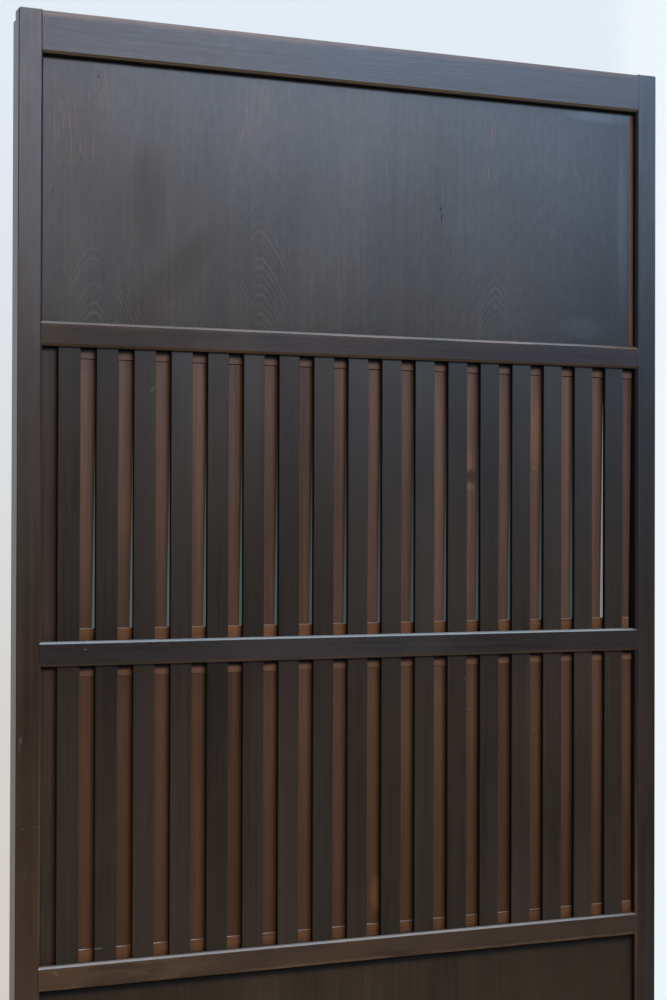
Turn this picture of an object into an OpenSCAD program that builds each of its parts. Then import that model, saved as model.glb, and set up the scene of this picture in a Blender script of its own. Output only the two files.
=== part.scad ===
// Sliding door leaf of joiner's work: a framed leaf with a plain panel above, two slatted
// sections with sliding shutters behind fixed slats, and a plain panel below.
// The front faces -Y, the back +Y, and the leaf stands on z = 0, centred on the origin.

/* [Leaf] */
// Overall width of the leaf
door_w = 900; // [820:1:980]
// Overall height of the leaf, to the ends of the stiles
door_h = 1760; // [1600:1:2000]
// Overall thickness of the leaf
door_t = 30; // [28:0.5:40]

/* [Frame] */
// Width of each stile
stile_w = 31; // [28:0.5:40]
// Height of the top rail
top_rail_h = 51; // [44:1:70]
// Height of the rails above and below the slatted sections
mid_rail_h = 30; // [28:0.5:40]
// Height of the rail between the slatted sections
middle_rail_h = 30.4; // [28:0.2:40]
// Height of the bottom rail
bottom_rail_h = 58; // [45:1:90]
// Stile ends standing above the top rail
stile_horn = 1; // [0.5:0.5:4]
// Chamfer round the front of every opening
arris_c = 3; // [1.5:0.5:4]
// Fine chamfer on the outer arrises of the frame
edge_c = 1; // [0.5:0.1:1.5]
// Corners taken off the upper ends of the stiles
horn_c = 2; // [1:0.5:3]
// Thickness of the tongue along the top, which runs in a head track
tongue_t = 17.7; // [14:0.1:20]
// Height of the tongue above its shoulder at the back
tongue_h = 11.5; // [8:0.5:13]

/* [Panels] */
// Clear height of the top panel between its rails
top_panel_h = 327; // [220:1:400]
// Thickness of each panel board
panel_t = 7; // [5:0.5:9]
// Depth of the panel face behind the frame's front
panel_set = 9.5; // [8:0.5:13]
// Width of the panel edge held in the grooves
panel_tongue = 7; // [5:0.5:8]
// Room for the panel to move at the bottom of its grooves
panel_play = 0.8; // [0.4:0.1:1]

/* [Fixed slats] */
// Clear height of the upper slatted section between its rails
upper_lattice_h = 360.4; // [300:0.2:400]
// Clear height of the lower slatted section between its rails
lower_lattice_h = 363.2; // [300:0.2:400]
// Number of fixed slats in each section
slat_count = 17; // [14:1:19]
// Width of each fixed slat
slat_w = 27.7; // [26:0.1:30]
// Thickness of each fixed slat
slat_t = 6.5; // [5.5:0.1:7.5]
// Depth of the slat faces behind the frame's front
slat_set = 3; // [2:0.1:4]
// Chamfer on the front arrises of the slats
slat_c = 0.5; // [0.2:0.1:1]
// Length of the slat stubs housed in the rails
slat_stub = 8; // [5:0.5:10]
// Width of the closing strip hidden behind the first slat
strip_lap = 1.1; // [0.6:0.1:2]
// Thickness of the closing strip
strip_t = 7; // [5:0.5:8]

/* [Shutters] */
// Thickness of the shutter rails
shutter_rail_t = 9; // [8:0.5:10]
// Height of the shutter's top rail that shows below the door rail
shutter_top_show = 14.5; // [13:0.5:20]
// Height of the shutter's bottom rail that shows above the door rail
shutter_bottom_show = 15; // [13:0.5:20]
// Chamfer on the inner front arris of the shutter rails
shutter_c = 1; // [0.6:0.1:1.2]
// Thickness of the shutter slats
shutter_slat_t = 6.4; // [5.6:0.1:7]
// Depth of the shutter slats behind the face of their rails
shutter_slat_set = 0.6; // [0.4:0.1:1]
// Shoulder cut from the front of the shutter slats at each end
shutter_shoulder = 1.6; // [1.2:0.1:2]
// Length of the shutter slat stubs housed in their rails
shutter_stub = 9; // [6:0.5:11]
// Overlap of a closed shutter slat behind the fixed slat on its right
lap_right = 2; // [1:0.1:3]
// Overlap of a closed shutter slat behind the fixed slat on its left
lap_left = 3.1; // [2:0.1:4]
// Sideways lean of the upper shutter, which has racked out of square
upper_rack = 4.8; // [0.5:0.1:5]
// Gap between a closed shutter and the right stile
end_clear = 0.5; // [0.3:0.1:1]

/* [Joinery] */
// Wall between the slat mortises and the shutter groove
groove_web = 1.5; // [1:0.1:2]
// Depth of the lower shutter groove
groove_low = 5; // [4:0.5:6]
// Depth of the upper shutter groove, for lifting the shutter out
groove_high = 10; // [9:0.5:11]
// Engagement of the shutter's top rail in the upper groove
top_engage = 4.5; // [3.5:0.5:5]
// Running clearance of a shutter rail in its groove
slide_clear = 0.4; // [0.3:0.05:0.6]
// Length of the rail tenons
tenon_l = 20; // [12:1:24]
// Thickness of the rail tenons
tenon_t = 9; // [7:0.5:11]
// Shoulder left above and below each tenon
tenon_shoulder = 1.5; // [1:0.5:2]
// Shoulder left below the tenons of the bottom rail
foot_shoulder = 11.5; // [8:0.5:15]

/* [Hidden] */
eps = 0.01;

// Places across the leaf
half_w = door_w / 2;
half_clear = half_w - stile_w;
slat_gap = (2 * half_clear - slat_count * slat_w) / (slat_count + 1);
slat_pitch = slat_w + slat_gap;
function slat_left(i) = -half_clear + slat_gap + (i - 1) * slat_pitch;

// Depths behind the front face
groove_front = slat_set + slat_t + groove_web;
groove_w = shutter_rail_t + 2 * slide_clear;
shutter_front = groove_front + slide_clear;
shutter_slat_front = shutter_front + shutter_slat_set;
tenon_front = (door_t - tenon_t) / 2;
panel_groove = panel_tongue + panel_play;
function at_depth(d) = d - door_t / 2;

// Heights of the rails, from the top down
top_rail_z1 = door_h - stile_horn;
top_rail_z0 = top_rail_z1 - top_rail_h;
upper_mid_z1 = top_rail_z0 - top_panel_h;
upper_mid_z0 = upper_mid_z1 - mid_rail_h;
middle_z1 = upper_mid_z0 - upper_lattice_h;
middle_z0 = middle_z1 - middle_rail_h;
lower_mid_z1 = middle_z0 - lower_lattice_h;
lower_mid_z0 = lower_mid_z1 - mid_rail_h;
bottom_rail_z1 = bottom_rail_h;

// Lower and upper edges of the rails' tenons, which keep clear of the grooves in the rails
top_rail_tenon = [top_rail_z0 + panel_groove + tenon_shoulder, top_rail_z1 - tongue_h - tenon_shoulder];
upper_mid_tenon = [upper_mid_z0 + groove_high + tenon_shoulder, upper_mid_z1 - panel_groove - tenon_shoulder];
middle_tenon = [middle_z0 + groove_high + tenon_shoulder, middle_z1 - groove_low - tenon_shoulder];
lower_mid_tenon = [lower_mid_z0 + panel_groove + tenon_shoulder, lower_mid_z1 - groove_low - tenon_shoulder];
bottom_rail_tenon = [foot_shoulder, bottom_rail_z1 - panel_groove - tenon_shoulder];
tenons = [top_rail_tenon, upper_mid_tenon, middle_tenon, lower_mid_tenon, bottom_rail_tenon];

// Shutter slats: each closes one gap, and the last is planed to meet the right stile
shutter_left = slat_left(1) + slat_w - lap_left;
shutter_right = half_clear - end_clear;
shutter_slat_w = slat_gap + lap_left + lap_right;

FRAME_WOOD = "#43393a";
PANEL_WOOD = "#4c484a";
SLAT_WOOD = "#302d2b";
STRIP_WOOD = "#3a2e2a";
SHUTTER_WOOD = "#5c463e";
SHUTTER_RAIL_WOOD = "#785541";

function slat_name(row, i) = str(row, "_fixed_slat_", i < 10 ? "0" : "", i);

// A box given by its sides in x, its depths from the front and its heights
module block(x, d, z) {
    translate([x[0], at_depth(d[0]), z[0]])
        cube([x[1] - x[0], d[1] - d[0], z[1] - z[0]]);
}

// A bar along x, from a section drawn as depth and height
module bar_along_x(x) {
    translate([x[0], 0, 0])
        rotate([90, 0, 90])
            linear_extrude(height = x[1] - x[0])
                translate([-door_t / 2, 0])
                    children();
}

// A board drawn as x and height, with its face at a depth
module board_at(d, thick) {
    translate([0, at_depth(d + thick), 0])
        rotate([90, 0, 0])
            linear_extrude(height = thick)
                children();
}

// Section of the left stile: the inner front arris is chamfered for its whole length
module stile_section() {
    inner = -half_clear;
    front = at_depth(0);
    back = at_depth(door_t);
    polygon([
        [-half_w + edge_c, front],
        [inner - arris_c, front],
        [inner, front + arris_c],
        [inner, back],
        [-half_w + edge_c, back],
        [-half_w, back - edge_c],
        [-half_w, front + edge_c]
    ]);
}

// Cut behind the tongue along the top of the leaf
module top_rebate() {
    block([-half_w - 1, half_w + 1], [tongue_t, door_t + 1], [top_rail_z1 - tongue_h, door_h + 1]);
}

// Bevels on the end of a stile: front and back, and its two corners
module stile_end_bevel() {
    for (d = [0, tongue_t])
        translate([0, at_depth(d), door_h])
            rotate([45, 0, 0])
                cube([3 * door_w, edge_c * sqrt(2), edge_c * sqrt(2)], center = true);
    for (x = [-half_w, -half_clear])
        translate([x, 0, door_h])
            rotate([0, 45, 0])
                cube([horn_c * sqrt(2), 3 * door_t, horn_c * sqrt(2)], center = true);
}

// Panel board with its edges, grown by the play where it cuts its groove
module panel_board(z0, z1, play) {
    edge = panel_tongue + play;
    block([-half_clear - edge, half_clear + edge], [panel_set, panel_set + panel_t], [z0 - edge, z1 + edge]);
}

module rail_tenons() {
    for (z = tenons)
        block(
            [-half_clear - tenon_l, half_clear + tenon_l],
            [tenon_front, tenon_front + tenon_t],
            z
        );
}

module stile() {
    difference() {
        linear_extrude(height = door_h)
            stile_section();
        top_rebate();
        stile_end_bevel();
        rail_tenons();
        panel_board(upper_mid_z1, top_rail_z0, panel_play);
        panel_board(bottom_rail_z1, lower_mid_z0, panel_play);
    }
}

// Plan of a rail: its front shoulders are scribed over the chamfers of the stiles
module rail_plan() {
    front = at_depth(0);
    polygon([
        [-half_clear - arris_c, front],
        [half_clear + arris_c, front],
        [half_clear, front + arris_c],
        [half_clear, at_depth(door_t)],
        [-half_clear, at_depth(door_t)],
        [-half_clear, front + arris_c]
    ]);
}

// Section of a rail: depth and height, with its front arrises chamfered
module rail_section(z0, z1, low_c, high_c) {
    polygon([
        [low_c, z0],
        [door_t, z0],
        [door_t, z1],
        [high_c, z1],
        [0, z1 - high_c],
        [0, z0 + low_c]
    ]);
}

module rail(z0, z1, tenon, low_c = arris_c, high_c = arris_c) {
    intersection() {
        translate([0, 0, z0])
            linear_extrude(height = z1 - z0)
                rail_plan();
        bar_along_x([-half_w, half_w])
            rail_section(z0, z1, low_c, high_c);
    }
    for (side = [-1, 1])
        block(
            side < 0 ? [-half_clear - tenon_l, -half_clear + eps] : [half_clear - eps, half_clear + tenon_l],
            [tenon_front, tenon_front + tenon_t],
            tenon
        );
}

// Running groove for a shutter, cut from one height to another along the rail
module shutter_groove(z0, z1) {
    block([-half_clear, half_clear], [groove_front, groove_front + groove_w], [z0, z1]);
}

module fixed_slat(i, z0, z1) {
    x0 = slat_left(i);
    front = at_depth(slat_set);
    translate([0, 0, z0 - slat_stub])
        linear_extrude(height = z1 - z0 + 2 * slat_stub)
            polygon([
                [x0 + slat_c, front],
                [x0 + slat_w - slat_c, front],
                [x0 + slat_w, front + slat_c],
                [x0 + slat_w, front + slat_t],
                [x0, front + slat_t],
                [x0, front + slat_c]
            ]);
}

module fixed_slats(z0, z1) {
    for (i = [1:slat_count])
        fixed_slat(i, z0, z1);
}

module closing_strip(z0, z1) {
    block(
        [-half_clear, slat_left(1) + strip_lap],
        [groove_front, groove_front + strip_t],
        [z0 - groove_low, z1 + top_engage]
    );
}

// Shutter rail between two heights, with the arris towards the slats chamfered
module shutter_rail(z0, z1, shift, low_c, high_c) {
    d0 = shutter_front;
    d1 = shutter_front + shutter_rail_t;
    bar_along_x([shutter_left - shift, shutter_right - shift])
        polygon([
            [d0 + low_c, z0],
            [d1, z0],
            [d1, z1],
            [d0 + high_c, z1],
            [d0, z1 - high_c],
            [d0, z0 + low_c]
        ]);
}

// All slats of a shutter, leaning by rack from their top ends to their bottom ends,
// with their ends thinned from the front to stubs
module shutter_slats(z0, z1, rack) {
    low = z0 + shutter_bottom_show;
    high = z1 - shutter_top_show;
    difference() {
        board_at(shutter_slat_front, shutter_slat_t)
            for (i = [1:slat_count]) {
                x0 = shutter_left + (i - 1) * slat_pitch;
                x1 = min(x0 + shutter_slat_w, shutter_right);
                polygon([
                    [x0 - rack, low - shutter_stub],
                    [x1 - rack, low - shutter_stub],
                    [x1, high + shutter_stub],
                    [x0, high + shutter_stub]
                ]);
            }
        for (z = [[low - shutter_stub - 1, low], [high, high + shutter_stub + 1]])
            block([-half_w, half_w], [shutter_slat_front - 1, shutter_slat_front + shutter_shoulder], z);
    }
}

module shutter_top_rail(z0, z1, rack) {
    difference() {
        shutter_rail(z1 - shutter_top_show, z1 + top_engage, 0, shutter_c, 0);
        shutter_slats(z0, z1, rack);
    }
}

module shutter_bottom_rail(z0, z1, rack) {
    difference() {
        shutter_rail(z0 - groove_low + slide_clear, z0 + shutter_bottom_show, rack, 0, shutter_c);
        shutter_slats(z0, z1, rack);
    }
}

module left_stile() {
    color(FRAME_WOOD)
        stile();
}

module right_stile() {
    color(FRAME_WOOD)
        mirror([1, 0, 0])
            stile();
}

module top_rail() {
    color(FRAME_WOOD)
        difference() {
            rail(top_rail_z0, top_rail_z1, top_rail_tenon, high_c = edge_c);
            top_rebate();
            panel_board(upper_mid_z1, top_rail_z0, panel_play);
        }
}

module upper_mid_rail() {
    color(FRAME_WOOD)
        difference() {
            rail(upper_mid_z0, upper_mid_z1, upper_mid_tenon);
            panel_board(upper_mid_z1, top_rail_z0, panel_play);
            shutter_groove(upper_mid_z0 - 1, upper_mid_z0 + groove_high);
            fixed_slats(middle_z1, upper_mid_z0);
        }
}

module middle_rail() {
    color(FRAME_WOOD)
        difference() {
            rail(middle_z0, middle_z1, middle_tenon);
            shutter_groove(middle_z1 - groove_low, middle_z1 + 1);
            shutter_groove(middle_z0 - 1, middle_z0 + groove_high);
            fixed_slats(middle_z1, upper_mid_z0);
            fixed_slats(lower_mid_z1, middle_z0);
        }
}

module lower_mid_rail() {
    color(FRAME_WOOD)
        difference() {
            rail(lower_mid_z0, lower_mid_z1, lower_mid_tenon);
            shutter_groove(lower_mid_z1 - groove_low, lower_mid_z1 + 1);
            fixed_slats(lower_mid_z1, middle_z0);
            panel_board(bottom_rail_z1, lower_mid_z0, panel_play);
        }
}

module bottom_rail() {
    color(FRAME_WOOD)
        difference() {
            rail(0, bottom_rail_z1, bottom_rail_tenon, low_c = edge_c);
            panel_board(bottom_rail_z1, lower_mid_z0, panel_play);
        }
}

module top_panel() {
    color(PANEL_WOOD)
        panel_board(upper_mid_z1, top_rail_z0, 0);
}

module bottom_panel() {
    color(PANEL_WOOD)
        panel_board(bottom_rail_z1, lower_mid_z0, 0);
}

module upper_closing_strip() {
    color(STRIP_WOOD)
        closing_strip(middle_z1, upper_mid_z0);
}

module lower_closing_strip() {
    color(STRIP_WOOD)
        closing_strip(lower_mid_z1, middle_z0);
}

module upper_fixed_slat(i) {
    color(SLAT_WOOD)
        fixed_slat(i, middle_z1, upper_mid_z0);
}

module lower_fixed_slat(i) {
    color(SLAT_WOOD)
        fixed_slat(i, lower_mid_z1, middle_z0);
}

module upper_shutter_top_rail() {
    color(SHUTTER_RAIL_WOOD)
        shutter_top_rail(middle_z1, upper_mid_z0, upper_rack);
}

module upper_shutter_bottom_rail() {
    color(SHUTTER_RAIL_WOOD)
        shutter_bottom_rail(middle_z1, upper_mid_z0, upper_rack);
}

module upper_shutter_slats() {
    color(SHUTTER_WOOD)
        shutter_slats(middle_z1, upper_mid_z0, upper_rack);
}

module lower_shutter_top_rail() {
    color(SHUTTER_RAIL_WOOD)
        shutter_top_rail(lower_mid_z1, middle_z0, 0);
}

module lower_shutter_bottom_rail() {
    color(SHUTTER_RAIL_WOOD)
        shutter_bottom_rail(lower_mid_z1, middle_z0, 0);
}

module lower_shutter_slats() {
    color(SHUTTER_WOOD)
        shutter_slats(lower_mid_z1, middle_z0, 0);
}

left_stile();
right_stile();
top_rail();
upper_mid_rail();
middle_rail();
lower_mid_rail();
bottom_rail();
top_panel();
bottom_panel();
upper_closing_strip();
lower_closing_strip();
for (i = [1:slat_count]) {
    upper_fixed_slat(i);
    lower_fixed_slat(i);
}
upper_shutter_top_rail();
upper_shutter_bottom_rail();
upper_shutter_slats();
lower_shutter_top_rail();
lower_shutter_bottom_rail();
lower_shutter_slats();
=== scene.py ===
"""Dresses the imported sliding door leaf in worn, dark-stained wood and sets it in a plain studio."""

import math
from typing import NamedTuple

import bpy
from mathutils import Euler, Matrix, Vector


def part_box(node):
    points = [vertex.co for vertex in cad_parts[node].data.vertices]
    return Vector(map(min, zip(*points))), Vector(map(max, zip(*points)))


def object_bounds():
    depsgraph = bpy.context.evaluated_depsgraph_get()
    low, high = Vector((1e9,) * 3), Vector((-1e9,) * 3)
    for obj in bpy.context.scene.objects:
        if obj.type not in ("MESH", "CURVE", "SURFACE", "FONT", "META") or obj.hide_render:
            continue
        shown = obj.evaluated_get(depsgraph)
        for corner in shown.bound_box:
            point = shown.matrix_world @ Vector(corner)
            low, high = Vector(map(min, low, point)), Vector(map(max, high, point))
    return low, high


bl_info = {
    "name": "Stained Sliding Door",
    "version": (1, 0, 0),
    "blender": (4, 5, 0),
    "location": "View3D > Sidebar > Door",
    "description": "Worn stained wood for a slatted sliding door leaf, and a studio to see it in",
    "category": "Object",
}

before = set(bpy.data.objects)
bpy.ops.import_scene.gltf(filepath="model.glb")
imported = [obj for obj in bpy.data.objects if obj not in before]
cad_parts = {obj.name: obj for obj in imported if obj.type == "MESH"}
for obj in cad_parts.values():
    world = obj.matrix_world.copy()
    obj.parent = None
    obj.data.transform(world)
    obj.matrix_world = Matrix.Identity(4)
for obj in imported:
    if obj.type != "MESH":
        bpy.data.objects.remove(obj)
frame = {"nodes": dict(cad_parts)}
CAD_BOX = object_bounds()

RAILS = ("top_rail", "upper_mid_rail", "middle_rail", "lower_mid_rail", "bottom_rail")
STRIPS = ("upper_closing_strip", "lower_closing_strip")
FIXED_SLATS = tuple(name for name in frame["nodes"] if "_fixed_slat_" in name)
SHUTTER_SLATS = ("upper_shutter_slats", "lower_shutter_slats")
SHUTTER_RAILS = tuple(name for name in frame["nodes"] if "_shutter_" in name and name.endswith("_rail"))

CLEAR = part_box("right_stile")[0].x  # Half of the clear width between the stiles
DIAGONAL = math.sqrt(0.5)  # Part of a chamfer's direction along each of its two axes
# The dirty edge that FADE softens is the edge of the painted shade under the rails.
FADE = 0.0012  # Width over which a worn or dirty edge fades, in metres
SENSOR = 36  # Long side of the camera's picture, in millimetres


class Value:
    """A number or vector that varies over a surface; arithmetic on it adds Math nodes."""

    def __init__(self, finish, socket):
        self.finish = finish
        self.socket = socket

    def maths(self, operation, *others):
        return self.finish.node("ShaderNodeMath", {"operation": operation}, dict(enumerate((self,) + others)))

    def __add__(self, other):
        return self.maths("ADD", other)

    __radd__ = __add__

    def __sub__(self, other):
        return self.maths("SUBTRACT", other)

    def __rsub__(self, other):
        return self.finish.node("ShaderNodeMath", {"operation": "SUBTRACT"}, {0: other, 1: self})

    def __mul__(self, other):
        return self.maths("MULTIPLY", other)

    __rmul__ = __mul__

    def __truediv__(self, other):
        return self.maths("DIVIDE", other)

    def __pow__(self, other):
        return self.maths("POWER", other)

    def __abs__(self):
        return self.maths("ABSOLUTE")

    def least(self, other):
        return self.maths("MINIMUM", other)

    def most(self, other):
        return self.maths("MAXIMUM", other)

    def rise(self, low, high):
        """0 below low, 1 above high, and a soft step between them."""
        return self.finish.node(
            "ShaderNodeMapRange",
            {"interpolation_type": "SMOOTHSTEP"},
            {"Value": self, "From Min": low, "From Max": high},
        )

    def near(self, centre, reach):
        """1 at the centre, fading to 0 at the reach on both sides."""
        return 1 - abs(self - centre).rise(0, reach)


def pick(sockets, key):
    """The socket with this index, identifier or name."""
    if isinstance(key, int):
        return sockets[key]
    return next(s for s in sockets if key in (s.identifier, s.name))


class Finish:
    """A procedural material: its surface coordinates, its grain and the nodes that shade it."""

    def __init__(self, name):
        self.material = bpy.data.materials.new(name)
        self.material.use_nodes = True
        self.tree = self.material.node_tree
        self.tree.nodes.clear()
        self.place = self.node("ShaderNodeTexCoord", out="Object")
        self.x, self.y, self.z = self.split(self.place)

    def node(self, kind, settings=None, inputs=None, out=0):
        """Adds a node with its settings and with a value or a link for each named input."""
        made = self.tree.nodes.new(kind)
        for key, value in (settings or {}).items():
            setattr(made, key, value)
        for key, value in (inputs or {}).items():
            socket = pick(made.inputs, key)
            if isinstance(value, Value):
                self.tree.links.new(value.socket, socket)
            else:
                socket.default_value = value
        return Value(self, pick(made.outputs, out)) if made.outputs else None

    def split(self, vector):
        """A vector's three parts."""
        made = self.node("ShaderNodeSeparateXYZ", inputs={0: vector}).socket.node
        return [Value(self, made.outputs[axis]) for axis in range(3)]

    def facing(self):
        """The surface's own direction, as three numbers."""
        return self.split(self.node("ShaderNodeNewGeometry", out="True Normal"))

    def noise(self, stretch, detail=3, roughness=0.55, shift=0.0):
        """Noise with so many features to the metre along each axis."""
        at = self.node(
            "ShaderNodeVectorMath",
            {"operation": "MULTIPLY_ADD"},
            {0: self.place, 1: stretch, 2: (shift, shift * 0.7, shift * 1.3)},
        )
        return self.node(
            "ShaderNodeTexNoise",
            inputs={"Vector": at, "Scale": 1, "Detail": detail, "Roughness": roughness},
        )

    def chance(self, number):
        """A random share that is the same wherever the number is the same."""
        return self.node("ShaderNodeTexWhiteNoise", {"noise_dimensions": "1D"}, {"W": number})

    def mix(self, mask, first, second):
        """The first colour where the mask is 0, and the second where it is 1."""
        return self.node(
            "ShaderNodeMix",
            {"data_type": "RGBA"},
            {"Factor_Float": mask, "A_Color": opaque(first), "B_Color": opaque(second)},
            out="Result_Color",
        )

    def close(self, colour, roughness, height, coat, sheen=None, coat_roughness=None):
        """Feeds the wood shader: the stain, its gloss and relief, and the oil film over it."""
        look = settings()
        bump = self.node(
            "ShaderNodeBump",
            inputs={"Strength": look.relief_strength, "Distance": look.relief, "Height": height},
        )
        shader = self.node(
            "ShaderNodeBsdfPrincipled",
            inputs={
                "Base Color": colour,
                "Roughness": roughness,
                "Normal": bump,
                "Coat Weight": coat,
                "Coat Roughness": look.film_roughness if coat_roughness is None else coat_roughness,
                "Specular IOR Level": look.sheen if sheen is None else sheen,
                # Bluish reflection tint standing in for the sky's colour.
                "Specular Tint": opaque(look.tint),
            },
        )
        return self.cover(shader)

    def matt(self, colour):
        """Feeds a matt shader."""
        return self.cover(self.node("ShaderNodeBsdfDiffuse", inputs={"Color": colour}))

    def cover(self, shader):
        """The finished material, with its shader on the whole surface."""
        self.node("ShaderNodeOutputMaterial", inputs={"Surface": shader})
        return self.material


def opaque(colour):
    """A plain colour with its alpha; a varying one as it is."""
    return colour if isinstance(colour, Value) else (*colour, 1.0)


def scaled(colour, factor):
    """A plain colour made darker or lighter by a factor."""
    return [part * factor for part in colour]


def dress(names, material):
    """Puts a material on CAD nodes, which keep their shape and place."""
    for name in names:
        for slot in frame["nodes"][name].material_slots:
            slot.material = material


def settings():
    """The leaf's colours and wear."""
    return bpy.context.scene.door_finish


def stage_settings():
    """The studio's colours, lights and camera."""
    return bpy.context.scene.door_stage


class Grain:
    """The figure of one kind of board: streaks, fibres and slow clouds along the grain."""

    def __init__(self, finish, along, seed, run=2.6, bold=0.6):
        def stretch(across, length):
            return (length, across, across) if along == "X" else (across, across, length)

        self.bold = bold
        self.streak = finish.noise(stretch(210, run), detail=4, roughness=0.6, shift=seed)
        self.band = finish.noise(stretch(34, run * 0.5), detail=3, shift=seed + 3.1)
        self.fibre = finish.noise(stretch(900, 14), detail=3, roughness=0.7, shift=seed + 5.7)
        self.cloud = finish.noise((5, 5, 3.2), detail=4, shift=seed + 9.3)

    def tone(self):
        """0 in the darkest grain and 1 in the lightest."""
        spread = ((self.streak - 0.5) * 1.4 + (self.band - 0.5) * 1.2) * self.bold
        fine = (self.fibre - 0.5) * 0.7 + (self.cloud - 0.5) * 1.2
        return spread + fine + 0.5

    def gloss(self):
        """The stain's roughness, uneven with the clouds and streaks."""
        return settings().roughness + (self.cloud - 0.5) * 0.16 + (self.streak - 0.5) * 0.12

    def relief(self):
        """Open grain, raised in its fibres and streaks."""
        return self.fibre * 0.6 + self.streak * 0.4


def stain(finish, tone, wood, strength=1.0):
    """The wood's colour at mid grain, darker and lighter with the grain's tone."""
    contrast = settings().grain
    dark = scaled(wood, strength * (1 - contrast))
    light = scaled(wood, strength * (1 + contrast))
    return finish.mix(tone, dark, light)


def oil_film(finish):
    """Old oil on the upper part of the leaf, cloudy, and worn off towards the hands and the floor."""
    look = settings()
    cloud = finish.noise((4.2, 4.2, 2.1), detail=2, roughness=0.5, shift=6.2)
    return finish.z.rise(look.film_foot, look.film_head) * (cloud * 1.3 + 0.35) * look.film


def scratch(finish, x, z, length, width, lean=0.0):
    """A short mark on the front, centred at x and z, running up the leaf and leaning by lean."""
    along = finish.z - z
    across = finish.x - x - along * lean
    return across.near(0, width) * along.near(0, length)


def haze(finish, x, z, wide, tall, lean=0.0):
    """A soft oval patch on the front, centred at x and z and leaning by lean."""
    along = finish.z - z
    across = (finish.x - x - along * lean) / wide
    along = along / tall
    return 1 - (across * across + along * along).rise(0, 1)


def most_of(masks):
    """The strongest of several masks at each place, and 0 if there are none."""
    total = 0.0
    for mask in masks:
        total = mask.most(total)
    return total


def hazes(finish, places):
    """The strongest of several soft patches."""
    return most_of(haze(finish, *place) for place in places)


def marks(finish, places):
    """The strongest of several scratches, broken up by fine noise."""
    broken = finish.noise((420, 420, 60), detail=4, roughness=0.7, shift=2.2)
    return most_of(scratch(finish, *place) for place in places) * broken.rise(0.36, 0.6)


def shade_under_rail(finish, above, reach):
    """Painted shade in the corner under a rail: 1 up to the rail's lower edge, fading out towards the reach
    below it.
    """
    ragged = finish.noise((60, 60, 60), detail=3, shift=8.1)
    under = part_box(above)[0].z - finish.z + (ragged - 0.5) * FADE
    return 1 - under.rise(reach * 0.4, reach)


def paint_cool_reflection(finish, colour, share):
    """The stain mixed by a share towards a painted cool reflection, high up towards the right of the leaf."""
    place = finish.x.rise(-0.1, CLEAR) * finish.z.rise(0.9, 1.4)
    return finish.mix(place * share, colour, settings().painted_cool_reflection)


def in_upper_section(finish):
    """1 in the upper slatted section and 0 in the lower one."""
    low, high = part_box("middle_rail")
    middle = (low.z + high.z) / 2
    return finish.z.rise(middle - 0.001, middle + 0.001)


def lattice_shade(finish, reach):
    """Painted shade at the top of both slatted sections, under the rails above them."""
    upper = in_upper_section(finish)
    above = shade_under_rail(finish, "upper_mid_rail", reach)
    below = shade_under_rail(finish, "middle_rail", reach)
    return above * upper + below * (1 - upper)


def square_on(part):
    """1 on faces that look straight along an axis, from their direction's part along it."""
    return part.rise(0.9, 0.95)


def level_chamfers(upward):
    """The chamfers along the upper and the lower edges of a rail, from the upward part of its direction."""
    chamfer = abs(upward).near(DIAGONAL, 0.3)
    return chamfer * upward.rise(0, 0.2), chamfer * (0 - upward).rise(0, 0.2)


def stile_wood(name, node, wood, warmth, arris, above, places):
    """Upright frame timber, rubbed along its outer arrises, painted dark as shade on its inner faces, its
    inner chamfer painted in the given arris colour, and warmer towards the floor.
    """
    look = settings()
    finish = Finish(name)
    low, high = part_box(node)
    grain = Grain(finish, "Z", 1.0 + high.x)
    # Painted cool reflection high up on the right.
    colour = paint_cool_reflection(finish, stain(finish, grain.tone(), wood), 0.6)
    outer = finish.x.near(low.x, look.arris).most(finish.x.near(high.x, look.arris))
    rub = outer * grain.band.rise(0.42, 0.62) * look.wear
    colour = finish.mix(rub * 0.4, colour, look.rubbed_dark)
    foot = 1 - finish.z.rise(0.45, 1.15)
    blotch = grain.cloud.rise(0.35, 0.65) * 0.5 + grain.band * 0.4
    colour = finish.mix(foot * blotch * warmth, colour, look.rubbed_dark)
    colour = finish.mix(marks(finish, places) * 0.25, colour, look.scuff_and_highlight)
    nx, ny, _ = finish.facing()
    inward = nx if low.x < 0 else 0 - nx
    chamfer = inward.near(DIAGONAL, 0.2) * (0 - ny).rise(0.5, 0.6)
    inside = square_on(inward)
    outside = square_on(0 - inward)
    # The inner chamfer takes the arris colour: a painted cool reflection on the left stile, painted shade on
    # the right.
    colour = finish.mix(chamfer * finish.z.rise(above, above + 0.25) * 0.9, colour, arris)
    line = chamfer * foot * grain.streak.rise(0.4, 0.65) * 0.5
    colour = finish.mix(line, colour, look.fleck)
    # Painted shade on the inner side faces, standing in for the shade in the openings.
    colour = finish.mix(inside * 0.85, colour, look.shade_and_dirt)
    mottle = finish.noise((110, 110, 22), detail=5, roughness=0.7, shift=high.x) + 0.5
    film = oil_film(finish) * mottle * (1 - chamfer.most(inside).most(outside))
    film = film.most(outside * 0.5)
    return finish.close(colour, grain.gloss().most(inside * 0.9), grain.relief(), film)


class RailWear(NamedTuple):
    """How one rail is stained and worn: shares, and places on its front."""

    strength: float  # Of the stain
    thin: float  # Stain worn thin over the face
    top: float  # Rubbing along the upper edge
    line: float  # Rubbing in a line at the foot of the upper chamfer
    bottom: float  # Rubbing along the lower edge
    # The olive share is thin stain and a painted warm reflection from below.
    olive: float  # Thin stain on the lower chamfer
    polish: float  # Polish of the upper chamfer
    sheen: float  # Strength of the stain's own reflection
    scratches: tuple = ()
    dust: tuple = ()
    dull: tuple = ()


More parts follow.
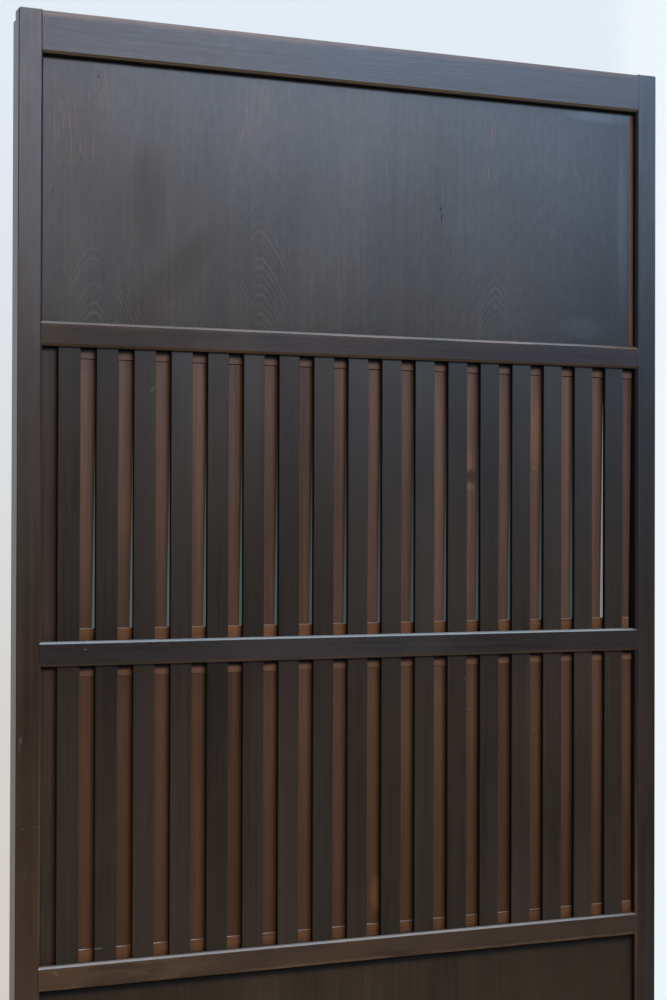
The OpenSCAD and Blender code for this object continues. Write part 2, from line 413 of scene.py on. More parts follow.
def rail_wood(name, node, wear):
    """Level frame timber between its two arrises, rubbed most where hands and tracks touch it."""
    look = settings()
    finish = Finish(name)
    low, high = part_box(node)
    grain = Grain(finish, "X", 20 + 11 * high.z)
    colour = stain(finish, grain.tone(), look.frame, wear.strength)
    patch = finish.noise((9, 40, 40), detail=5, roughness=0.65, shift=high.z)
    thin = (patch.rise(0.38, 0.62) * 0.7 + 0.25) * (grain.band * 0.8 + 0.5)
    leftward = 1 - finish.x.rise(-CLEAR, 0.3)
    colour = finish.mix(thin * wear.thin * (leftward * 0.9 + 0.2), colour, look.rubbed_dark)
    # Painted cool reflection high up on the right.
    colour = paint_cool_reflection(finish, colour, 0.3)
    colour = finish.mix(hazes(finish, wear.dust) * 0.035, colour, look.scuff_and_highlight)

    _, ny, nz = finish.facing()
    upper, lower = level_chamfers(nz)
    chamfer_foot = high.z - look.arris
    streaky = (grain.streak * 0.6 + patch * 0.8).rise(0.5, 0.8)
    top_edge = finish.z.rise(high.z - 3 * look.arris, chamfer_foot) * streaky
    top_edge = top_edge * (leftward * 0.7 + 0.3) * wear.top
    low_edge = finish.z.near(low.z, 0.0055) * patch.rise(0.42, 0.6) * wear.bottom
    line = finish.z.near(chamfer_foot, 0.0015) * patch.rise(0.42, 0.58)
    line = line * (1.1 - leftward) * wear.line
    rub = top_edge.most(low_edge).most(line) * look.wear
    # Thin stain and a painted warm reflection from below on the lower chamfer.
    colour = finish.mix(lower * (patch + 0.4).least(1) * wear.olive, colour, look.lower_arris_wear_and_reflection)
    colour = finish.mix(rub.least(0.9), colour, look.rubbed)
    joint = abs(finish.x).near(CLEAR + look.arris, look.joint) * square_on(0 - ny)
    joint = joint * (1 - finish.x.rise(0, 0.1) * 0.8)
    colour = finish.mix(joint * 0.95, colour, look.shade_and_dirt)
    # Painted shade on the underside of the rail.
    soffit = square_on(0 - nz)
    colour = finish.mix(soffit * 0.95, colour, look.shade_and_dirt)
    colour = finish.mix(marks(finish, wear.scratches) * 0.65, colour, look.scuff_and_highlight)

    glint = ((finish.z - chamfer_foot) / look.arris).near(0.3, 0.55) * 1.1 + 0.35
    polish = (upper * (patch * 0.6 + 0.6) * glint * wear.polish).least(1)
    mottle = finish.noise((60, 150, 150), detail=5, roughness=0.75, shift=high.z + 2.3) - 0.5
    gloss = grain.gloss() + mottle * (1 - upper - lower) * 0.2
    gloss = gloss + (lower + soffit).least(1) * 0.5 - upper * 0.1
    gloss = (gloss + hazes(finish, wear.dull) * 0.3 + joint * 0.6).least(1)
    height = grain.relief() - joint * 3
    return finish.close(colour, gloss, height, polish, wear.sheen, look.arris_roughness)


def ring_figure(finish, hearts, wander):
    """Growth rings where a wide board is sawn past each heart: arches, drawn out into its flanks."""
    look = settings()
    rings, arches = 0.0, 0.0
    for heart, foot, head, reach in hearts:
        across = finish.x - heart + wander * 0.010
        bent = (across * across + look.heart_depth**2) ** 0.5
        phase = (bent + finish.z * look.taper + wander * 0.006) * (math.tau / look.ring)
        near = (1 - abs(across).rise(reach * 0.45, reach)) * (1 - finish.z.rise(foot, head))
        wave = phase.maths("SINE") * 0.5 + 0.5
        ring = (phase / math.tau + 0.25).maths("FLOOR")
        wave = wave * wave * wave * finish.chance(ring + heart * 100) * near
        rings = wave + rings
        arches = near.most(arches)
    return rings, arches


def panel_wood(
    name, node, shade, reach, hearts, right, shrunk=0.0, flecks=(), streaks=(), dents=(), dull=(), bright=()
):
    """A wide board whose rings rise in arches round each heart, rubbed through in thin streaks."""
    look = settings()
    finish = Finish(name)
    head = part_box(node)[1].z
    grain = Grain(finish, "Z", 40 + 7 * head, run=5, bold=0.5)
    wander = finish.noise((22, 22, 14), detail=3, roughness=0.6, shift=4.4) - 0.5
    rings, arches = ring_figure(finish, hearts, wander)
    broken = finish.noise((30, 30, 14), detail=3, shift=3.7).rise(0.35, 0.62)

    tone = grain.tone() + rings * broken * 0.65 - arches * 0.12
    colour = stain(finish, tone, look.panel)
    # Painted light towards the right: the top panel takes the painted cool reflection, the bottom panel a
    # darker stain as painted shade.
    colour = finish.mix(finish.x.rise(0.05, 0.4) * 0.6, colour, right)
    fleck = finish.noise((520, 520, 24), detail=3, roughness=0.6, shift=head).rise(0.57, 0.68)
    rub = fleck * (hazes(finish, flecks) * 0.9 + grain.cloud.rise(0.5, 0.7) * 0.08) * look.wear
    rub = rub.most(marks(finish, streaks) * 0.45)
    colour = finish.mix(rub, colour, look.fleck)
    bare = (finish.x - CLEAR).rise(-look.shrinkage, FADE - look.shrinkage) * shrunk
    colour = finish.mix(bare * (grain.streak * 0.5 + 0.45), colour, look.bare)

    height = grain.relief() + rings * 0.25
    # Painted shade on the panel just below the rail above it.
    shade_and_dirt = shade_under_rail(finish, shade, look.shade_reach * reach)
    film = oil_film(finish) * (1 - shade_and_dirt) * (1 - bare * 0.8) * (1 - rub * 0.6) * 0.85
    mottle = finish.noise((150, 150, 60), detail=5, roughness=0.75, shift=6.6)
    film = film * (rings * broken * 0.16 + 1) * (mottle * 0.9 + 0.55)
    pit = most_of(scratch(finish, *place) for place in dents)
    colour = finish.mix(pit * 0.85, colour, look.shade_and_dirt)
    height = height - pit * 3
    film = film * (1 - pit * 0.8) * (1 - hazes(finish, dull) * 0.3) * (hazes(finish, bright) * 0.5 + 1)
    # Painted shade below the rail, in the dark shade colour.
    colour = finish.mix(shade_and_dirt * 0.9, colour, look.shade_and_dirt)
    gloss = grain.gloss() - rings * broken * 0.03 + bare * 0.2
    return finish.close(colour, gloss.most(shade_and_dirt * 0.95), height, film)


def slat_numbers(finish):
    """Each slat's own random share, the distance from its left edge, and its width."""
    first, second = (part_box(f"upper_fixed_slat_{n:02d}") for n in (1, 2))
    pitch = second[0].x - first[0].x
    count = (finish.x - first[0].x) / pitch
    number = count.maths("FLOOR")
    own = finish.chance(number + in_upper_section(finish) * 40)
    return own, (count - number) * pitch, first[1].x - first[0].x


def slat_wood(name):
    """Near-black fixed slats, each a little different, with a few pale nicks."""
    look = settings()
    finish = Finish(name)
    grain = Grain(finish, "Z", 71, run=3, bold=0.45)
    own, edge, width = slat_numbers(finish)
    colour = stain(finish, grain.tone() + (own - 0.5) * 0.3, look.slat)
    # Painted cool reflection high up on the right.
    colour = paint_cool_reflection(finish, colour, 0.6)
    arris = edge.near(0, look.slat_arris).most(edge.near(width, look.slat_arris))
    rub = arris * grain.streak.rise(0.5, 0.7) * look.wear
    colour = finish.mix(rub * 0.35, colour, look.rubbed_dark)
    # Each nick: its place on the front, its half length and half width, and its lean
    nicks = [
        (-0.2785, 1.302, 0.005, 0.0014, 0.8),
        (0.1551, 0.9286, 0.002, 0.0012),
        (-0.346, 0.613, 0.0013, 0.008),
    ]
    colour = finish.mix(marks(finish, nicks) * 0.6, colour, look.scuff_and_highlight)
    # Painted shade on the slats' side faces and at their tops under the rails.
    sides = square_on(abs(finish.facing()[0]))
    shade_and_dirt = lattice_shade(finish, look.shade_reach * 0.44).most(sides)
    colour = finish.mix(shade_and_dirt * 0.9, colour, look.shade_and_dirt)
    gloss = (grain.gloss() + 0.03).most(shade_and_dirt * 0.95)
    blotch = finish.noise((9, 9, 8), detail=3, shift=15.4) * 0.9 + 0.55
    film = oil_film(finish) * (own * 0.5 + 0.6) * blotch * (1 - shade_and_dirt)
    film = film * (finish.x.rise(-CLEAR, 0.1) * 0.70 + 0.58)
    return finish.close(colour, gloss, grain.relief(), film)


def strip_wood(name):
    """The closing strips in the shade beside the left stile."""
    look = settings()
    finish = Finish(name)
    grain = Grain(finish, "Z", 93, bold=0.8)
    colour = stain(finish, grain.tone(), look.strip)
    # Painted shade at the top of the strips, under the rails.
    shade_and_dirt = lattice_shade(finish, look.shade_reach * 0.95)
    colour = finish.mix(shade_and_dirt * 0.9, colour, look.shade_and_dirt)
    film = oil_film(finish) * (1 - shade_and_dirt) * 0.6
    return finish.close(colour, grain.gloss() + 0.08, grain.relief(), film)


def shutter_slat_wood(name):
    """Thinly stained shutter slats, redder low down, with a knot and its pale swirl in one of them."""
    look = settings()
    # Each patch: its place on the front, its half width and half height
    knot = (0.1680, 1.1985, 0.0120, 0.0110)
    swirl = (0.1672, 1.1845, 0.0085, 0.0065)
    red_places = [
        (0.0310, 0.6500, 0.0110, 0.0300),
        (0.1650, 1.2170, 0.0080, 0.0200),
        (0.2670, 1.2600, 0.0120, 0.0600),
        (0.2650, 1.2110, 0.0060, 0.0050),
    ]
    finish = Finish(name)
    grain = Grain(finish, "Z", 57, bold=0.85)
    own = slat_numbers(finish)[0]
    colour = stain(finish, grain.tone() + (own - 0.5) * 0.5, look.shutter)
    low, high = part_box("lower_shutter_slats")[0].z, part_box("upper_shutter_slats")[1].z
    foot = 1 - (finish.z - low).rise(0, high - low)
    colour = finish.mix(foot * (grain.band * 0.5 + 0.5), colour, look.shutter_low)
    redder = foot * grain.band.rise(0.45, 0.7) * own
    colour = finish.mix(redder * 0.6, colour, look.rubbed_dark)
    shaded = finish.x.rise(0.1, CLEAR) * (1 - finish.z.rise(0.6, 0.85))
    colour = finish.mix(shaded * 0.45, colour, scaled(look.shutter_low, 0.5))
    red = hazes(finish, red_places) * (grain.band * 0.6 + 0.4)
    colour = finish.mix(red * 0.65, colour, look.fleck)
    colour = finish.mix(haze(finish, *knot), colour, scaled(look.shutter, 0.42))
    colour = finish.mix(haze(finish, *swirl) * 0.12, colour, look.scuff_and_highlight)
    nicks = [(0.1667, 0.8866, 0.0022, 0.0022), (0.2653, 0.8558, 0.0015, 0.0014)]
    colour = finish.mix(marks(finish, nicks) * 0.9, colour, look.scuff_and_highlight)
    film = oil_film(finish) * 0.6
    return finish.close(colour, grain.gloss() + 0.06, grain.relief(), film)


def shutter_rail_wood(name):
    """The shutters' own rails, their top rails painted paler as sheen, their top arrises painted bright as a
    highlight, and painted shade below the frame's rails.
    """
    look = settings()
    finish = Finish(name)
    grain = Grain(finish, "X", 33)
    colour = stain(finish, grain.tone(), look.shutter_rail)
    upper_head = finish.z.rise(1.2, 1.3)
    lower_head = finish.z.rise(0.8, 0.9) * (1 - finish.z.rise(0.96, 0.97))
    # Painted sheen: the shutters' top rails, high on the leaf, mixed towards a paler colour.
    colour = finish.mix((upper_head * 0.8).most(lower_head * 0.35), colour, look.shutter_head_sheen)
    upper, lower = level_chamfers(finish.facing()[2])
    # Painted highlight: the upper chamfers mixed towards the pale colour.
    colour = finish.mix(upper * 0.5, colour, look.scuff_and_highlight)
    # Painted shade above the shutter blocks under the frame's rails, and on the lower chamfer of the upper
    # shutter's top rail.
    shade_and_dirt = lattice_shade(finish, look.shade_reach * 1.2).most(lower * upper_head)
    colour = finish.mix(shade_and_dirt * 0.95, colour, look.shade_and_dirt)
    gloss = grain.gloss() + 0.05
    return finish.close(colour, gloss, grain.relief(), upper, coat_roughness=look.arris_roughness)


def swatch(name, description, default):
    """A colour setting."""
    return bpy.props.FloatVectorProperty(
        name=name, description=description, default=default, subtype="COLOR", size=3, min=0, max=1
    )


def share(name, description, default):
    """A setting from 0 to 1."""
    return bpy.props.FloatProperty(
        name=name, description=description, default=default, min=0, max=1, subtype="FACTOR"
    )


def length(name, description, default):
    """A length setting in metres."""
    return bpy.props.FloatProperty(
        name=name, description=description, default=default, unit="LENGTH", precision=4
    )


def angle(name, description, degrees):
    """An angle setting."""
    return bpy.props.FloatProperty(
        name=name, description=description, default=math.radians(degrees), subtype="ANGLE"
    )


def power(name, description, watts):
    """A light's power setting."""
    return bpy.props.FloatProperty(name=name, description=description, default=watts, unit="POWER")


class DoorFinishSettings(bpy.types.PropertyGroup):
    """Colours and wear of the leaf's timber."""

    frame: swatch("Frame", "Stiles and rails at mid grain", (0.046, 0.0255, 0.0145))
    # Painted shade: the right stile's stain is a darker, cooler copy of the frame's, standing in for dimmer
    # light on the right.
    right: swatch("Right stile", "Right stile at mid grain", (0.0270, 0.0172, 0.0112))
    panel: swatch("Panels", "Panel boards at mid grain", (0.042, 0.0255, 0.0120))
    # Painted cool reflection: a dark bluish colour that stands in for the sky reflected towards the upper
    # right.
    painted_cool_reflection: swatch("Right side", "Stain towards the right edge of the leaf", (0.0180, 0.0185, 0.0210))
    slat: swatch("Fixed slats", "Fixed slats at mid grain", (0.0335, 0.0215, 0.0126))
    strip: swatch("Closing strips", "Closing strips at mid grain", (0.048, 0.0265, 0.0150))
    shutter: swatch("Shutter slats", "Shutter slats at mid grain, high on the leaf", (0.120, 0.058, 0.031))
    shutter_low: swatch("Shutter slats, low", "Shutter slats towards the foot", (0.080, 0.032, 0.0115))
    shutter_rail: swatch("Shutter rails", "Shutter rails at mid grain", (0.170, 0.069, 0.027))
    # Painted sheen: paler colour on the shutters' top rails where they catch the light.
    shutter_head_sheen: swatch("Shutter head", "Top rail of the upper shutter", (0.165, 0.092, 0.062))
    rubbed: swatch("Rubbed wood", "Wood where the stain has rubbed off", (0.240, 0.120, 0.062))
    rubbed_dark: swatch("Thin stain", "Wood where the stain has worn thin", (0.098, 0.050, 0.024))
    fleck: swatch("Flecks", "Thin flecks rubbed through the panels' stain", (0.250, 0.095, 0.040))
    # Thin stain on the lower arrises, with a painted warm reflection from below.
    lower_arris_wear_and_reflection: swatch("Lower arrises", "Thin stain on the arrises under the rails", (0.140, 0.076, 0.024))
    # Painted reflection: navy standing in for the cool light reflected in the left stile's inner chamfer.
    left_arris_reflection: swatch("Left arris", "Inner arris of the left stile", (0.014, 0.016, 0.030))
    # Painted shade on the right stile's inner chamfer, which faces away from the light.
    right_arris_shade: swatch("Right arris", "Inner arris of the right stile", (0.018, 0.017, 0.019))
    bare: swatch("Bare edge", "Panel edge that shrinkage has drawn out of its groove", (0.170, 0.076, 0.041))
    # Pale colour for real scratches, nicks and dust, and for the painted highlight on the shutter rails'
    # upper chamfers.
    scuff_and_highlight: swatch("Scuffs", "Pale scratches and nicks", (0.32, 0.30, 0.27))
    # Dark colour for painted shade under the rails and on faces turned from the light, and for dirt in joints
    # and dents.
    shade_and_dirt: swatch("Grime", "Dirt in the corners under the rails", (0.006, 0.005, 0.004))
    arris: length("Arris", "Width of the chamfers round the openings", 0.003)
    slat_arris: length("Slat arris", "Width of the rubbed edges of the fixed slats", 0.0016)
    joint: length("Joint line", "Half width of the dark line where a rail meets a stile", 0.0014)
    # Depth of the painted shade below a rail.
    shade_reach: length("Grime reach", "Depth of the dirt on a panel below a rail", 0.0075)
    roughness: share("Roughness", "Roughness of the stained face", 0.36)
    arris_roughness: share("Arris roughness", "Roughness of the polished arrises", 0.15)
    sheen: share("Sheen", "Strength of the stain's own reflection", 0.12)
    # Painted cool light: a bluish tint on every reflection, standing in for the sky's colour.
    tint: swatch("Sheen tint", "Colour of the stain's own reflection", (0.84, 0.93, 1.0))
    film: share("Oil film", "Weight of the oil film high on the leaf", 0.82)
    film_roughness: share("Film roughness", "Roughness of the oil film", 0.33)
    film_foot: length("Film foot", "Height below which the oil is worn off", 0.72)
    film_head: length("Film head", "Height above which the oil is whole", 1.52)
    grain: share("Grain", "Contrast of the grain", 0.5)
    wear: share("Wear", "How far arrises and streaks are rubbed", 0.75)
    relief: length("Relief", "Height of the grain's relief", 0.0003)
    relief_strength: share("Relief strength", "How strongly the relief turns the light", 0.7)
    ring: length("Ring spacing", "Width of a growth ring across the board", 0.0055)
    taper: share("Ring taper", "How fast the rings close towards the top of the board", 0.47)
    heart_depth: length("Heart depth", "How far the heart lies behind the panel's face", 0.012)
    shrinkage: length("Shrinkage", "Width of bare panel edge beside the right stile", 0.0066)


class DoorStageSettings(bpy.types.PropertyGroup):
    """Camera, backdrop and light."""

    eye: bpy.props.FloatVectorProperty(
        name="Eye",
        description="Place of the camera",
        default=(-0.95587, -2.22205, 1.14372),
        subtype="TRANSLATION",
    )
    turn: angle("Turn", "Camera turned to the right of the leaf's back", 22.625)
    lift: angle("Lift", "Camera raised above level", 0.516)
    roll: angle("Roll", "Camera rolled anticlockwise", 0.165)
    lens: bpy.props.FloatProperty(
        name="Lens", description="Focal length on a 36 mm long side", default=66.6, unit="CAMERA"
    )
    backdrop_gap: length("Backdrop gap", "Backdrop behind the leaf's back", 0.11)
    pale: swatch("Floor", "Floor paint", (0.86, 0.85, 0.83))
    # The backdrop's high, low and right colours paint the fall of light on it.
    backdrop_high: swatch("Backdrop, high", "Backdrop above the leaf", (0.77, 0.86, 0.95))
    backdrop_low: swatch("Backdrop, low", "Backdrop beside the foot of the leaf", (0.66, 0.62, 0.57))
    backdrop_right: swatch("Backdrop, right", "Backdrop to the right of the leaf", (0.86, 0.93, 0.98))
    shade_high: swatch("Shade, high", "Backdrop behind the top of the slats", (0.010, 0.013, 0.014))
    shade_low: swatch("Shade, low", "Backdrop behind the foot of the slats", (0.045, 0.070, 0.080))
    shade_left: swatch("Shade, left", "Backdrop behind the slats on the left", (0.085, 0.112, 0.107))
    cloth: swatch("Cloth", "Black cloth that stands out of the picture", (0.008, 0.008, 0.008))
    cool: swatch("Cool light", "Colour of the cool soft light", (0.40, 0.645, 1.0))
    warm: swatch("Warm light", "Colour of the warm soft light", (1.0, 0.78, 0.62))
    low: swatch("Low light", "Colour of the light from low on the left", (1.0, 0.78, 0.58))
    sky: swatch("Overhead light", "Colour of the light above the leaf", (0.74, 0.87, 1.0))
    neutral: swatch("Neutral light", "Colour of the light behind the leaf and all round", (0.94, 0.97, 1.0))
    overhead: power("Overhead light", "Power above the leaf", 22)
    cool_power: power("Cool light", "Power to the front and right", 63)
    warm_power: power("Warm light", "Power to the front and left", 18)
    low_power: power("Low light", "Power low on the left", 1.2)
    rear: power("Rear light", "Power behind the leaf", 45)
    fill: share("Fill", "Even light from all round", 0.28)


class DoorPiece:
    """What every dressing operator shares."""

    bl_options = {"REGISTER", "UNDO"}


class DOOR_OT_stiles(DoorPiece, bpy.types.Operator):
    """Dress the two stiles"""

    bl_idname = "door.stiles"
    bl_label = "Stiles"

    def execute(self, context):
        look = settings()
        # Each scratch: its place on the front, its half length and half width, and its lean
        scratches = [
            (-0.4455, 0.867, 0.016, 0.0012, 0.05),
            (-0.4385, 0.710, 0.007, 0.0010, -0.2),
            (-0.4445, 0.8720, 0.006, 0.0035, 0.0),
            (-0.4410, 0.7655, 0.002, 0.004, 0.0),
            (-0.4260, 0.7675, 0.002, 0.003, 0.0),
            (-0.4290, 0.8040, 0.002, 0.002, 0.0),
        ]
        # The left stile's inner chamfer takes the painted reflection colour high up.
        left = stile_wood(
            "left_stile_wood",
            "left_stile",
            wood=look.frame,
            warmth=0.5,
            arris=look.left_arris_reflection,
            above=1.25,
            places=scratches,
        )
        dress(["left_stile"], left)
        # The right stile takes the painted shade stain and the painted shade arris colour.
        right = stile_wood(
            "right_stile_wood",
            "right_stile",
            wood=look.right,
            warmth=0.35,
            arris=look.right_arris_shade,
            above=0.6,
            places=[(0.4344, 1.3476, 0.0012, 0.003)],
        )
        dress(["right_stile"], right)
        return {"FINISHED"}


class DOOR_OT_rails(DoorPiece, bpy.types.Operator):
    """Dress the five rails, each with its own wear"""

    bl_idname = "door.rails"
    bl_label = "Rails"

    def execute(self, context):
        wear = {
            "top_rail": RailWear(
                strength=1.0, thin=0.0, top=1.0, line=0.0, bottom=0.1, olive=0.85, polish=0.0, sheen=0.56
            ),
            "upper_mid_rail": RailWear(
                strength=0.74, thin=0.3, top=0.2, line=0.8, bottom=0.1, olive=0.4, polish=1.0, sheen=0.32,
                dull=((-0.36, 1.36, 0.26, 0.06),),
            ),
            "middle_rail": RailWear(
                strength=0.46, thin=0.05, top=0.0, line=0.0, bottom=0.15, olive=0.35, polish=0.72, sheen=0.36,
                scratches=((-0.3648, 0.9803, 0.0007, 0.006),), dust=((-0.02, 0.975, 0.24, 0.04),),
            ),
            "lower_mid_rail": RailWear(
                strength=1.05, thin=0.95, top=0.1, line=0.4, bottom=0.9, olive=0.3, polish=1.0, sheen=0.14,
                scratches=((-0.3998, 0.588, 0.005, 0.0012, -0.94),),
            ),
            "bottom_rail": RailWear(
                strength=1.0, thin=0.5, top=0.2, line=0.2, bottom=0.6, olive=0.4, polish=0.6, sheen=0.1
            ),
        }
        for node in RAILS:
            dress([node], rail_wood(f"{node}_wood", node, wear[node]))
        return {"FINISHED"}


class DOOR_OT_panels(DoorPiece, bpy.types.Operator):
    """Dress the two panel boards"""

    bl_idname = "door.panels"
    bl_label = "Panels"

    def execute(self, context):
        # Each patch: its place on the front, its half width and half height, and its lean
        flecks = [
            (-0.380, 1.615, 0.045, 0.060, 0.0),
            (-0.345, 1.668, 0.040, 0.030, 0.0),
            (-0.127, 1.672, 0.016, 0.030, -0.1),
            (-0.150, 1.645, 0.030, 0.045, 0.0),
            (-0.101, 1.648, 0.010, 0.020, 0.0),
            (0.203, 1.662, 0.018, 0.028, 0.0),
            (0.191, 1.608, 0.010, 0.014, 0.0),
        ]
        dull = [
            (-0.285, 1.545, 0.030, 0.080, 0.0),
            (-0.247, 1.449, 0.036, 0.075, 0.85),
            (-0.290, 1.398, 0.045, 0.030, 0.0),
        ]
        bright = [
            (0.339, 1.404, 0.050, 0.018, 0.0),
            (0.401, 1.543, 0.010, 0.150, 0.0),
            (0.366, 1.699, 0.070, 0.012, 0.0),
        ]
        # Each streak and dent: its place on the front, its half length and half width, and its lean
        streaks = [
            (-0.1263, 1.6804, 0.026, 0.0016, -0.18),
            (-0.1537, 1.6575, 0.024, 0.0012, -0.09),
            (-0.1008, 1.6443, 0.024, 0.0012, -0.06),
            (-0.3833, 1.6207, 0.036, 0.0012, -0.05),
            (-0.3671, 1.5915, 0.014, 0.0016, -0.07),
            (-0.3340, 1.6530, 0.024, 0.0012, -0.04),
        ]
        dents = [
            (0.1215, 1.5535, 0.004, 0.0026),
            (0.1226, 1.5430, 0.012, 0.0014, 0.05),
            (-0.4051, 1.5408, 0.0016, 0.0016),
            (-0.3481, 1.6858, 0.0018, 0.0022),
        ]
        # Each heart: its place across the board, where its arches are whole, where they end, and their reach
        hearts = [(-0.354, 1.43, 1.50, 0.085), (-0.134, 1.50, 1.59, 0.052), (0.204, 1.44, 1.52, 0.055)]
        look = settings()
        top = panel_wood(
            "top_panel_wood",
            "top_panel",
            shade="top_rail",
            reach=1.0,
            hearts=hearts,
            # Painted cool reflection on the right of the top panel.
            right=look.painted_cool_reflection,
            shrunk=1.0,
            flecks=flecks,
            streaks=streaks,
            dents=dents,
            dull=dull,
            bright=bright,
        )
        dress(["top_panel"], top)
        hearts = [(-0.27, 0.30, 0.48, 0.08), (0.06, 0.24, 0.42, 0.07), (0.31, 0.32, 0.5, 0.06)]
        bottom = panel_wood(
            "bottom_panel_wood",
            "bottom_panel",
            shade="lower_mid_rail",
            reach=1.9,
            hearts=hearts,
            # Painted shade on the right of the bottom panel: its stain darkened.
            right=scaled(look.panel, 0.6),
        )
        dress(["bottom_panel"], bottom)
        return {"FINISHED"}


class DOOR_OT_slats(DoorPiece, bpy.types.Operator):
    """Dress the fixed slats and the closing strips"""

    bl_idname = "door.slats"
    bl_label = "Fixed slats"

    def execute(self, context):
        dress(FIXED_SLATS, slat_wood("fixed_slat_wood"))
        dress(STRIPS, strip_wood("closing_strip_wood"))
        return {"FINISHED"}


class DOOR_OT_shutters(DoorPiece, bpy.types.Operator):
    """Dress the two sliding shutters"""

    bl_idname = "door.shutters"
    bl_label = "Shutters"

    def execute(self, context):
        dress(SHUTTER_SLATS, shutter_slat_wood("shutter_slat_wood"))
        dress(SHUTTER_RAILS, shutter_rail_wood("shutter_rail_wood"))
        return {"FINISHED"}


def floor_paint(name):
    """Matt pale paint for the floor."""
    finish = Finish(name)
    cloud = finish.noise((1.3, 1.3, 1.3), detail=3)
    pale = stage_settings().pale
    colour = finish.mix(cloud * 0.12, pale, scaled(pale, 0.86))
    return finish.matt(colour)


def backdrop_paint(name):
    """A glowing pale sheet, painted darker and warmer low down, bluer high up and lighter to the right as
    light falls, with a painted shadow behind the leaf; from behind it hides nothing.
    """
    stage = stage_settings()
    finish = Finish(name)
    cloud = finish.noise((2.1, 2.1, 2.1), detail=3)
    # Painted light: darker and warmer low down, bluer high up, lighter to the right.
    colour = finish.mix(finish.z.rise(0.5, 1.9), stage.backdrop_low, stage.backdrop_high)
    colour = finish.mix(cloud * 0.1, colour, stage.backdrop_low)
    colour = finish.mix(finish.x.rise(0.44, 0.52), colour, stage.backdrop_right)
    # Painted shadow of the leaf on the backdrop behind it.
    inside = finish.x.rise(-0.415, -0.36) * (1 - finish.x.rise(0.42, 0.50)) * (1 - finish.z.rise(1.68, 1.76))
    shade = finish.mix(finish.x.rise(-0.3, 0.1), stage.shade_left, stage.shade_low)
    shade = finish.mix(finish.z.rise(1.02, 1.36), shade, stage.shade_high)
    colour = finish.mix(inside, colour, shade)
    shader = finish.node("ShaderNodeEmission", inputs={"Color": colour})
    behind = finish.node("ShaderNodeNewGeometry", out="Backfacing")
    clear = finish.node("ShaderNodeBsdfTransparent")
    return finish.cover(finish.node("ShaderNodeMixShader", inputs={0: behind, 1: shader, 2: clear}))


def flag_cloth(name):
    """Black cloth that keeps low reflections off the leaf."""
    finish = Finish(name)
    weave = finish.noise((40, 40, 40), detail=2)
    cloth = stage_settings().cloth
    colour = finish.mix(weave, cloth, scaled(cloth, 2))
    return finish.matt(colour)


def stage_plane(name, size, place, tilt, paint):
    """A flat sheet of the studio, which is no piece of the leaf."""
    bpy.ops.object.select_all(action="DESELECT")
    bpy.ops.mesh.primitive_plane_add(size=1, location=place, rotation=tilt)
    plane = bpy.context.object
    plane.name = name
    plane.scale = (*size, 1)
    bpy.ops.object.transform_apply(location=True, rotation=True, scale=True)
    plane.data.materials.append(paint)
    return plane


def soft_light(name, place, target, size, spread, watts, colour):
    """A lamp with a soft face of a size, spreading so many degrees towards its target."""
    bpy.ops.object.light_add(type="AREA", location=place)
    lamp = bpy.context.object
    lamp.name = name
    lamp.data.shape = "RECTANGLE"
    lamp.data.size, lamp.data.size_y = size
    lamp.data.spread = math.radians(spread)
    lamp.data.energy = watts
    lamp.data.color = colour
    lamp.visible_camera = False
    aim = [t - p for t, p in zip(target, place)]
    lamp.rotation_euler = direction_to_euler(aim)
    return lamp


def direction_to_euler(aim):
    """Turns a lamp, which shines down its own -Z, to shine along aim with its width level."""
    flat = math.hypot(aim[0], aim[1])
    return Euler((math.atan2(flat, -aim[2]), 0, math.atan2(-aim[0], aim[1])), "XYZ")


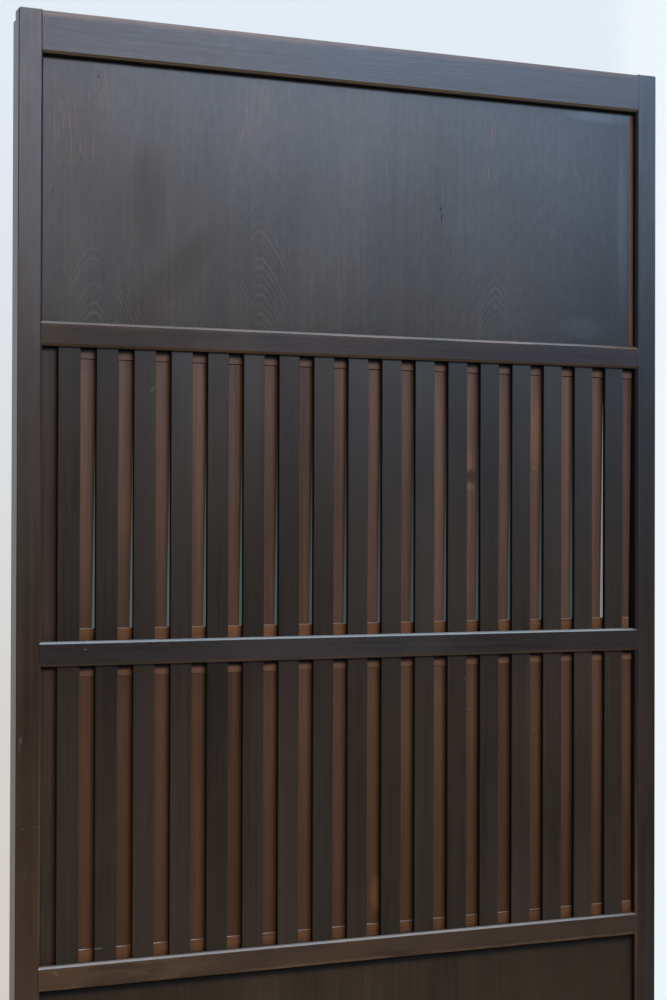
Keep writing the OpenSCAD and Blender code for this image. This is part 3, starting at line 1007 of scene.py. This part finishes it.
class DOOR_OT_stage(DoorPiece, bpy.types.Operator):
    """Set the floor, the backdrop, the soft lights and the camera"""

    bl_idname = "door.stage"
    bl_label = "Stage"

    def execute(self, context):
        stage = stage_settings()
        upright = (math.radians(90), 0, 0)
        wide, tall = 7, 4.5
        behind = (0, CAD_BOX[1].y + stage.backdrop_gap, tall / 2)
        sheet = stage_plane("backdrop", (wide, tall), behind, upright, backdrop_paint("backdrop_paint"))
        sheet.visible_shadow = False
        sheet.visible_diffuse = False
        stage_plane("floor", (6.4, 6.4), (0, 0.6, 0), (0, 0, 0), floor_paint("floor_paint"))
        flag = stage_plane("flag", (16, 2.6), (2, -7, 1.3), upright, flag_cloth("flag_cloth"))
        flag.visible_camera = False
        cloth = stage_plane("ground_cloth", (16, 4.4), (2, -4.8, 0), (0, 0, 0), flag_cloth("ground_cloth"))
        cloth.visible_camera = False

        # Each light: its place, its target, its width and height, its spread, its power and its colour
        lights = {
            "overhead_light": (
                (0.55, -0.3, 2.6), (0.55, -0.3, 0), (2.2, 0.8), 150, stage.overhead, stage.sky
            ),
            "cool_light": ((2.8, -5.4, 4.35), (0.2, 0, 1.4), (5.0, 3.2), 70, stage.cool_power, stage.cool),
            "warm_light": ((0.9, -5.9, 4.35), (-0.2, 0, 1.4), (2.8, 3.2), 70, stage.warm_power, stage.warm),
            "low_light": ((-1.6, -1.2, 0.35), (-0.4, 0, 0.45), (0.9, 0.7), 100, stage.low_power, stage.low),
            "rear_light": ((1.4, 3.2, 2.6), (0, 0, 0.9), (2.4, 2.0), 180, stage.rear, stage.neutral),
        }
        for name, light in lights.items():
            soft_light(name, *light)

        world = bpy.data.worlds.new("studio")
        context.scene.world = world
        world.use_nodes = True
        shade = world.node_tree.nodes["Background"]
        shade.inputs["Color"].default_value = opaque(stage.neutral)
        shade.inputs["Strength"].default_value = stage.fill

        bpy.ops.object.camera_add(location=stage.eye)
        camera = context.object
        camera.name = "photo_camera"
        camera.rotation_euler = Euler((math.radians(90) + stage.lift, 0, -stage.turn), "XYZ")
        camera.rotation_euler.rotate_axis("Z", stage.roll)
        camera.data.lens = stage.lens
        camera.data.sensor_width = SENSOR
        camera.data.clip_start = 0.05
        context.scene.camera = camera
        context.scene.view_settings.view_transform = "Standard"
        return {"FINISHED"}


OPERATORS = (DOOR_OT_stiles, DOOR_OT_rails, DOOR_OT_panels, DOOR_OT_slats, DOOR_OT_shutters, DOOR_OT_stage)


class DOOR_PT_panel(bpy.types.Panel):
    """Lists the leaf's pieces and their finish"""

    bl_idname = "DOOR_PT_panel"
    bl_label = "Sliding door"
    bl_space_type = "VIEW_3D"
    bl_region_type = "UI"
    bl_category = "Door"

    def draw(self, context):
        for operator in OPERATORS:
            self.layout.operator(operator.bl_idname)
        for group in (context.scene.door_finish, context.scene.door_stage):
            box = self.layout.box()
            for key in group.__annotations__:
                box.prop(group, key)


CLASSES = (DoorFinishSettings, DoorStageSettings, *OPERATORS, DOOR_PT_panel)


def register():
    for cls in CLASSES:
        bpy.utils.register_class(cls)
    bpy.types.Scene.door_finish = bpy.props.PointerProperty(type=DoorFinishSettings)
    bpy.types.Scene.door_stage = bpy.props.PointerProperty(type=DoorStageSettings)


def unregister():
    del bpy.types.Scene.door_stage
    del bpy.types.Scene.door_finish
    for cls in reversed(CLASSES):
        bpy.utils.unregister_class(cls)


def main():
    register()
    bpy.ops.door.stiles()
    bpy.ops.door.rails()
    bpy.ops.door.panels()
    bpy.ops.door.slats()
    bpy.ops.door.shutters()
    bpy.ops.door.stage()


if __name__ == "__main__":
    main()
